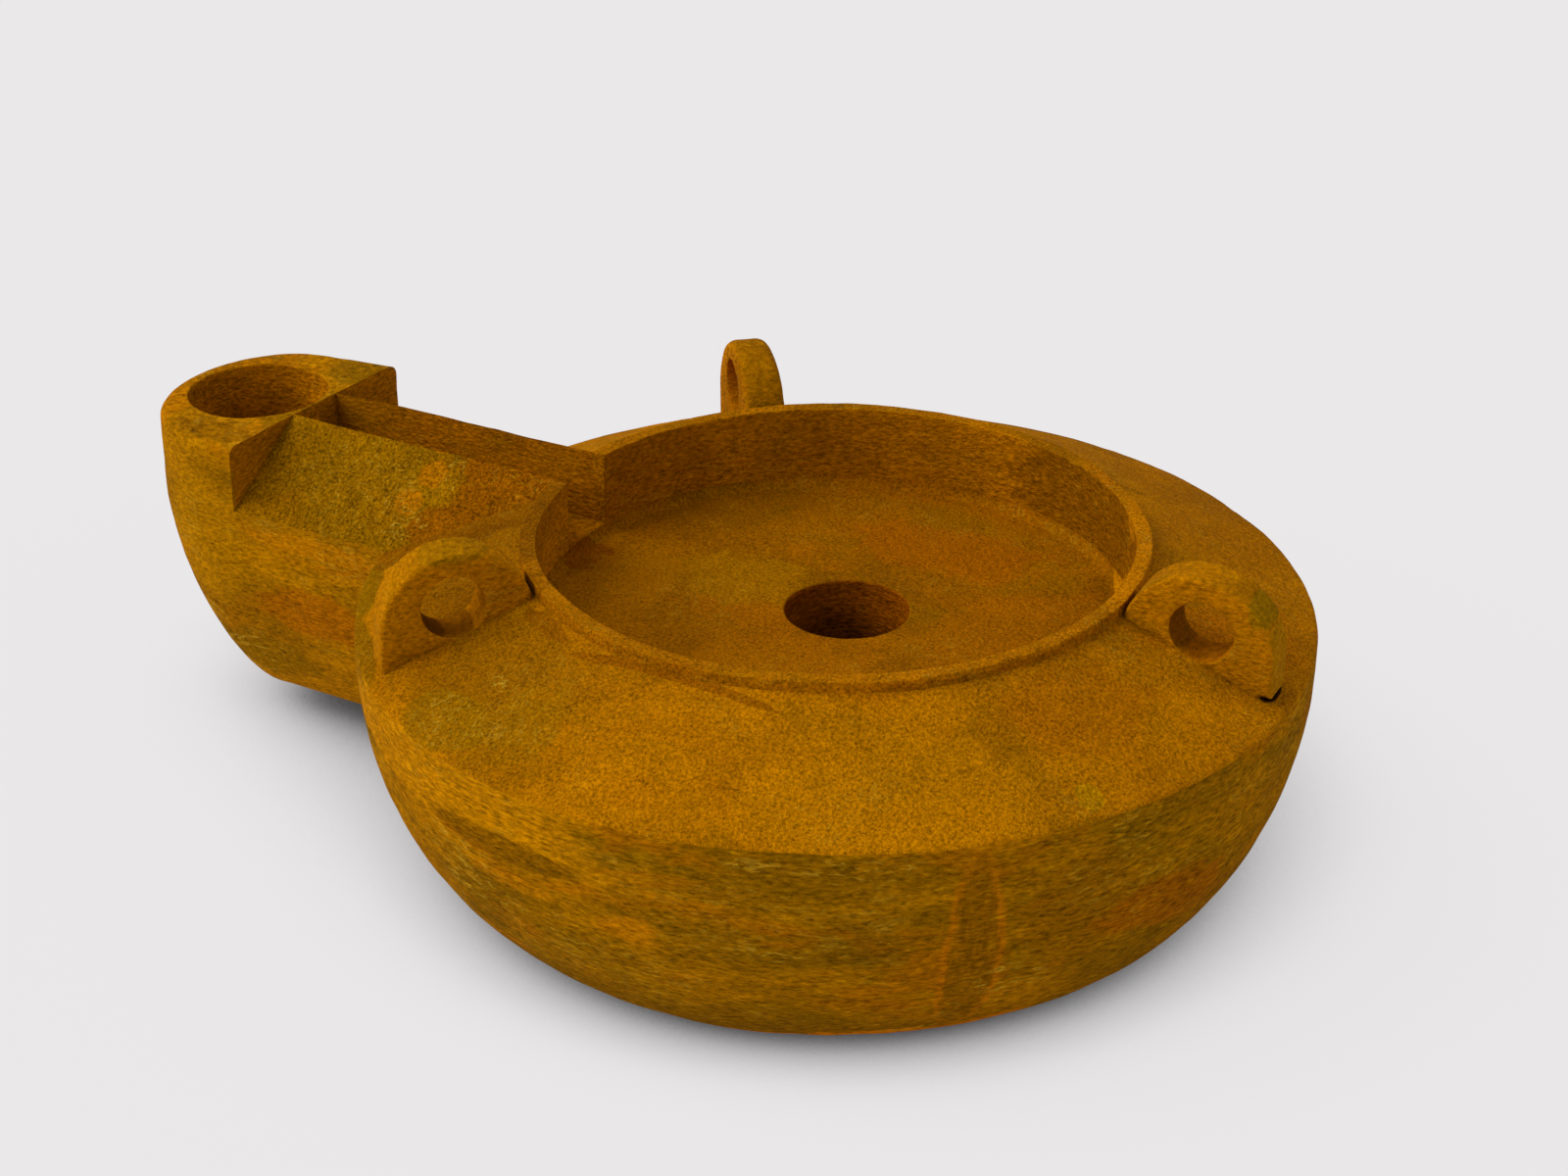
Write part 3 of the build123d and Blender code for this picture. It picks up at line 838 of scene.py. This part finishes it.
lug_marks = [
    round_mark(228.5, 40.3, 29.0, 1.6, 3, 4.5, (0.45, 0.160), 0.9),
    round_mark(228.5, 33.5, 36.6, 4, 3, 1.1, (0.30, 0.130), 0.7),
    round_mark(2.8, 38.5, 34.3, 1.0, 3.4, 1.5, (0.26, 0.130), 0.7),
    round_mark(2.8, 37.2, 28.6, 4.4, 3, 3.2, (0.35, 0.126), 0.7),
    # Painted shadow in the slit under the rear lug's outer end.
    round_mark(2.8, 39.6, 27.05, 1.0, 2.0, 0.2, (0.03, 0.008), 1.0),
    round_mark(132.5, 33.5, 31.0, 8, 4, 6, (0.31, 0.108), 0.7),
]
lug_edge_marks = [
    round_mark(132.5, 33.5, 36.2, 8, 4, 2.2, (0.30, 0.112), 0.8),
    round_mark(132.5, 27.5, 32.0, 2.4, 4, 6, (0.31, 0.117), 0.7),
    round_mark(228.5, 40.0, 29.0, 1.6, 3, 4.5, (0.42, 0.150), 0.9),
    round_mark(228.5, 33.5, 36.6, 4, 3, 1.1, (0.32, 0.135), 0.7),
    round_mark(2.8, 38.5, 34.4, 1.2, 3.4, 1.7, (0.26, 0.130), 0.8),
    round_mark(2.8, 40.0, 30.4, 1.0, 3.4, 3.2, (0.36, 0.150), 0.8),
]

# ---- the lamp's finishes ----
bowl_clay = clay("bowl_clay", (0.23, 0.096), (0.31, 0.124), (0.39, 0.152), olive=0.6, rust=0.45, pale=0.4,
                 stretch=(3.2, 3.2, 1), grain=0.8, marks=bowl_marks, smears=bowl_smears, lichen=bowl_lichen,
                 contrast=0.85, cloud_size=5.0, fleck_size=0.9, blotchy=0.6, streaky=4.0)
shoulder_clay = clay("shoulder_clay", (0.38, 0.135), (0.48, 0.170), (0.56, 0.200), olive=0.3, rust=0.25,
                     seed=21.0, marks=shoulder_marks, lichen=shoulder_lichen, contrast=0.85, fleck_size=1.0,
                     blotchy=0.45)
discus_clay = clay("discus_clay", (0.23, 0.076), (0.28, 0.093), (0.33, 0.110), olive=0.35, rust=0.35,
                   pale=0.2, grain=0.6, seed=33.0, marks=discus_marks, contrast=0.8, blotchy=0.45)
rim_clay = clay("rim_clay", (0.28, 0.096), (0.36, 0.122), (0.43, 0.146), olive=0.3, rust=0.4, grain=0.7,
                seed=41.0, marks=rim_marks, contrast=0.9)
wall_clay = clay("wall_clay", (0.33, 0.112), (0.40, 0.137), (0.48, 0.168), olive=0.2, rust=0.4, pale=0.15,
                 stretch=(2.5, 2.5, 1), grain=0.8, seed=47.0, marks=wall_marks, contrast=0.85, blotchy=0.45)
nozzle_clay = clay("nozzle_clay", (0.31, 0.124), (0.39, 0.153), (0.46, 0.182), rust=0.4,
                   stretch=(3, 3, 1), grain=0.7, seed=55.0, marks=nozzle_marks, lichen=nozzle_lichen,
                   contrast=0.8, cloud_size=6.0)
neck_clay = clay("neck_clay", (0.28, 0.118), (0.32, 0.136), (0.36, 0.155), olive=0.2, rust=0.15, pale=0.4,
                 grain=1.2, seed=75.0, marks=neck_marks, lichen=neck_lichen, contrast=1.1, fleck_size=0.9)
lug_clay = clay("lug_clay", (0.39, 0.139), (0.46, 0.161), (0.51, 0.180), olive=0.35, rust=0.2,
                stretch=(2, 2, 1), grain=0.8, seed=87.0, marks=lug_marks, contrast=0.75, cloud_size=8.0,
                blotchy=0.3)
lug_edge_clay = clay("lug_edge_clay", (0.33, 0.120), (0.40, 0.145), (0.47, 0.170), olive=0.5, rust=0.2,
                     stretch=(2, 2, 1), grain=0.8, seed=101.0, marks=lug_edge_marks, contrast=0.65,
                     cloud_size=8.0, blotchy=0.4)
lug_hole_clay = clay("lug_hole_clay", (0.34, 0.110), (0.40, 0.130), (0.46, 0.150), olive=0.2, pale=0.0,
                     stretch=(2, 2, 1), grain=0.8, seed=89.0, marks=lug_hole_shade_marks, contrast=0.6)
wick_clay = clay("wick_clay", (0.31, 0.099), (0.43, 0.142), (0.55, 0.186), olive=0.2, pale=0.2,
                 stretch=(2, 2, 1), seed=91.0, contrast=0.9)
# Dark clay inside the bowl, the trough and the filling hole: painted shade of the hollows.
hollow_shade_clay = clay("hollow_shade_clay", (0.11, 0.024), (0.17, 0.038), (0.24, 0.056), olive=0.1, rust=0.5, pale=0.1,
                  stretch=(3, 3, 1), grain=0.9, seed=95.0)


# ---- which faces take which finish ----
def radial(middle, normal):
    """How far the faces look away from the lamp's axis: 1 straight out, -1 straight in."""
    return (middle[:, 0] * normal[:, 0] + middle[:, 1] * normal[:, 1]) / np.hypot(middle[:, 0], middle[:, 1])


hole_margin = 0.4  # faces this near a hole's radius belong to its wall


def from_hole(middle, place):
    """How far the faces are from a hole's upright axis."""
    return np.linalg.norm(middle[:, :2] - place, axis=1)


def cone_side(middle, normal):
    return (middle[:, 2] < shoulder_edge - 0.15) & (np.hypot(middle[:, 0], middle[:, 1]) > body_radius - 1)


def looks_in(middle, normal):
    return radial(middle, normal) < -0.5


def in_bowl(middle, normal):
    inside = np.hypot(middle[:, 0], middle[:, 1]) < bowl_width(middle[:, 2]) - 1.5
    return inside & (middle[:, 2] > foot_height / 2)


def in_trough(middle, normal):
    x, y, z = middle.T
    away = np.where(x > head_middle, np.abs(y), np.hypot(x - head_middle, y))
    return (away < nozzle_width(z) - 1.5) & (z > nozzle_low + 1.5)


def in_filling_hole(middle, normal):
    return (from_hole(middle, hole_place) < hole_radius + hole_margin) & (np.abs(normal[:, 2]) < 0.6)


def in_wick_hole(middle, normal):
    return (from_hole(middle, wick_place) < wick_radius + hole_margin) & (np.abs(normal[:, 2]) < 0.6)


def head_behind(middle, normal):
    return (normal[:, 0] > 0.6) & (middle[:, 0] > head_back - 0.6)


def channel_side(middle, normal):
    return (np.abs(normal[:, 1]) > 0.7) & (np.abs(middle[:, 1]) < channel_half + 0.4)


def neck_edge(middle, normal):
    return (middle[:, 2] < panel_edge - 0.1) & (np.abs(middle[:, 1]) > head_radius - 0.6)


def lug_faces(name, middle, normal):
    """The faces' distance from the axis of this lug's hole, and how far they look along it, from 0 to 1."""
    angle = radians(lug_angles[name])
    ahead = np.array([np.cos(angle), np.sin(angle)])
    away = np.hypot(middle[:, :2] @ ahead - lug_hole[0], middle[:, 2] - lug_hole[1])
    return away, np.abs(normal[:, 0] * ahead[1] - normal[:, 1] * ahead[0])


def in_lug_hole(name):
    """A test for the faces of this lug's hole."""
    def test(middle, normal):
        away, along = lug_faces(name, middle, normal)
        return (away < lug_hole_radius + hole_margin) & (along < 0.6)

    return test


def lug_edge(name):
    """A test for the faces of this lug's round edge."""
    def test(middle, normal):
        away, along = lug_faces(name, middle, normal)
        return (away > lug_hole_radius + hole_margin) & (along < 0.75)

    return test


# ---- the lamp's pieces ----
fine_edge = 0.12
make_piece("foot", *make_foot(), ["base_disc"], "lower_clay", [bowl_clay, (hollow_shade_clay, in_bowl)])
make_piece("bowl", *make_bowl(), ["bowl_wall"], "lower_clay", [bowl_clay, (hollow_shade_clay, in_bowl)])
make_piece("trough", *make_trough(), ["nozzle_trough"], "lower_clay", [nozzle_clay, (hollow_shade_clay, in_trough)])
make_piece("cone", *make_shoulder(), ["shoulder"], "upper_clay", [shoulder_clay, (bowl_clay, cone_side)])
make_piece("rim", *make_rim(), ["discus_rim"], "upper_clay", [rim_clay, (wall_clay, looks_in)], fine_edge)
make_piece("discus", *make_discus(), ["discus_floor"], "discus_clay",
           [discus_clay, (hollow_shade_clay, in_filling_hole)])
make_piece("channel", *make_channel_floor(), ["channel_floor"], "discus_clay", [wall_clay])
make_piece("head", *make_head(), ["nozzle_head"], "upper_clay",
           [nozzle_clay, (wall_clay, head_behind), (wick_clay, in_wick_hole)], fine_edge)
for name, side, crust, node in (("neck_near", -1, 0.11, "neck_left"), ("neck_far", 1, 0.05, "neck_right")):
    make_piece(name, *make_neck(side, crust), [node], "neck_clay",
               [neck_clay, (nozzle_clay, neck_edge), (wall_clay, channel_side)], fine_edge)
for lug in lug_angles:
    make_piece(lug.replace("lug", "loop"), *make_lug(lug), [lug], "lug_clay",
               [lug_clay, (lug_edge_clay, lug_edge(lug)), (lug_hole_clay, in_lug_hole(lug))])

# ---- camera, floor and light ----
camera_turn, camera_aside, camera_drop, lens_length = radians(28.7), 0.0189, 0.4672, 68.59
camera_reach, camera_height = 0.23096, 0.11114 + rim_top / MM
camera = bpy.data.objects.new("camera", bpy.data.cameras.new("camera"))
camera.data.lens = lens_length
camera.location = (camera_reach * np.sin(camera_turn), -camera_reach * np.cos(camera_turn), camera_height)
camera.rotation_euler = (radians(90) - camera_drop, 0, camera_turn + camera_aside)
bpy.context.scene.collection.objects.link(camera)
bpy.context.scene.camera = camera

FLOOR = (0.823, 0.807, 0.815, 1)


def seen_directly(tree):
    """1 where the camera sees a surface, also in gloss or through glass, and 0 for light on its way."""
    path = add(tree, "LightPath").outputs
    seen = calc(tree, "MAXIMUM", path["Is Camera Ray"], path["Is Glossy Ray"])
    return calc(tree, "MAXIMUM", seen, path["Is Transmission Ray"])


floor_half, floor_level = 3.0, -0.00002  # just under the foot, so the two faces don't lie in one plane
mesh = bpy.data.meshes.new("floor")
corner_signs = ((-1, -1), (1, -1), (1, 1), (-1, 1))
mesh.from_pydata([(x * floor_half, y * floor_half, floor_level) for x, y in corner_signs], [], [(0, 1, 2, 3)])
floor = bpy.data.objects.new("floor", mesh)
bpy.context.scene.collection.objects.link(floor)

# The floor shows an even pale ground, the lamp's close shadow painted into its glow, and part of the true
# light on it.
floor_paint = bpy.data.materials.new("floor_paint")
floor_paint.use_nodes = True
tree = floor_paint.node_tree
tree.nodes.remove(tree.nodes["Principled BSDF"])
lit_share, lit_level = 0.05, 0.96


def openness(tree, lean, reach, samples):
    """How little stands near the floor on the side it leans to: 1 in the open and less beside the lamp."""
    normal = add(tree, "CombineXYZ", {0: lean[0], 1: lean[1], 2: lean[2]}).outputs[0]
    return add(tree, "AmbientOcclusion", {"Distance": reach, "Normal": normal}, samples=samples).outputs["AO"]


in_front = openness(tree, (0.348, -0.627, 0.696), 0.05, 24)
to_left = openness(tree, (-0.408, -0.408, 0.816), 0.03, 8)
near = calc(tree, "MULTIPLY_ADD", to_left, 0.1, calc(tree, "MULTIPLY", in_front, 0.9))
fall = add(tree, "ValToRGB", {0: near})
fall.color_ramp.elements[0].position, fall.color_ramp.elements[0].color = 0.40, (0.05, 0.05, 0.05, 1)
for open_share, level in ((0.46, 0.18), (0.53, 0.41), (0.58, 0.59), (0.62, 0.70), (0.66, 0.77), (0.70, 0.86),
                          (0.75, 0.95), (0.83, 0.99)):
    fall.color_ramp.elements.new(open_share).color = (level, level, level, 1)
shade = calc(tree, "MULTIPLY", fall.outputs[0], 1 - lit_share * lit_level)
plain = add(tree, "BsdfDiffuse", {"Color": FLOOR})
part_lit = add(tree, "BsdfDiffuse", {"Color": [k * lit_share for k in FLOOR[:3]] + [1]})
ground_with_painted_shadow = add(tree, "Emission", {"Color": FLOOR, "Strength": shade})
shown = add(tree, "AddShader", {0: part_lit.outputs[0], 1: ground_with_painted_shadow.outputs[0]})
either = add(tree, "MixShader", {0: seen_directly(tree), 1: plain.outputs[0], 2: shown.outputs[0]})
tree.links.new(either.outputs[0], tree.nodes["Material Output"].inputs["Surface"])
mesh.materials.append(floor_paint)

sun = bpy.data.lights.new("key", "SUN")
sun.energy = 2.0
sun.angle = radians(50)
key = bpy.data.objects.new("key", sun)
key.rotation_euler = (radians(50), 0, radians(-58))
bpy.context.scene.collection.objects.link(key)

dome_strength = 0.55
world = bpy.data.worlds.new("world")
bpy.context.scene.world = world
world.use_nodes = True
tree = world.node_tree
dome = tree.nodes["Background"]
dome.inputs["Color"].default_value = (1, 1, 1, 1)
dome.inputs["Strength"].default_value = dome_strength
ground = add(tree, "Background", {"Color": FLOOR, "Strength": 1.0})
either = add(tree, "MixShader", {0: seen_directly(tree), 1: dome.outputs[0], 2: ground.outputs[0]})
tree.links.new(either.outputs[0], tree.nodes["World Output"].inputs["Surface"])
bpy.context.scene.view_settings.view_transform = "Standard"
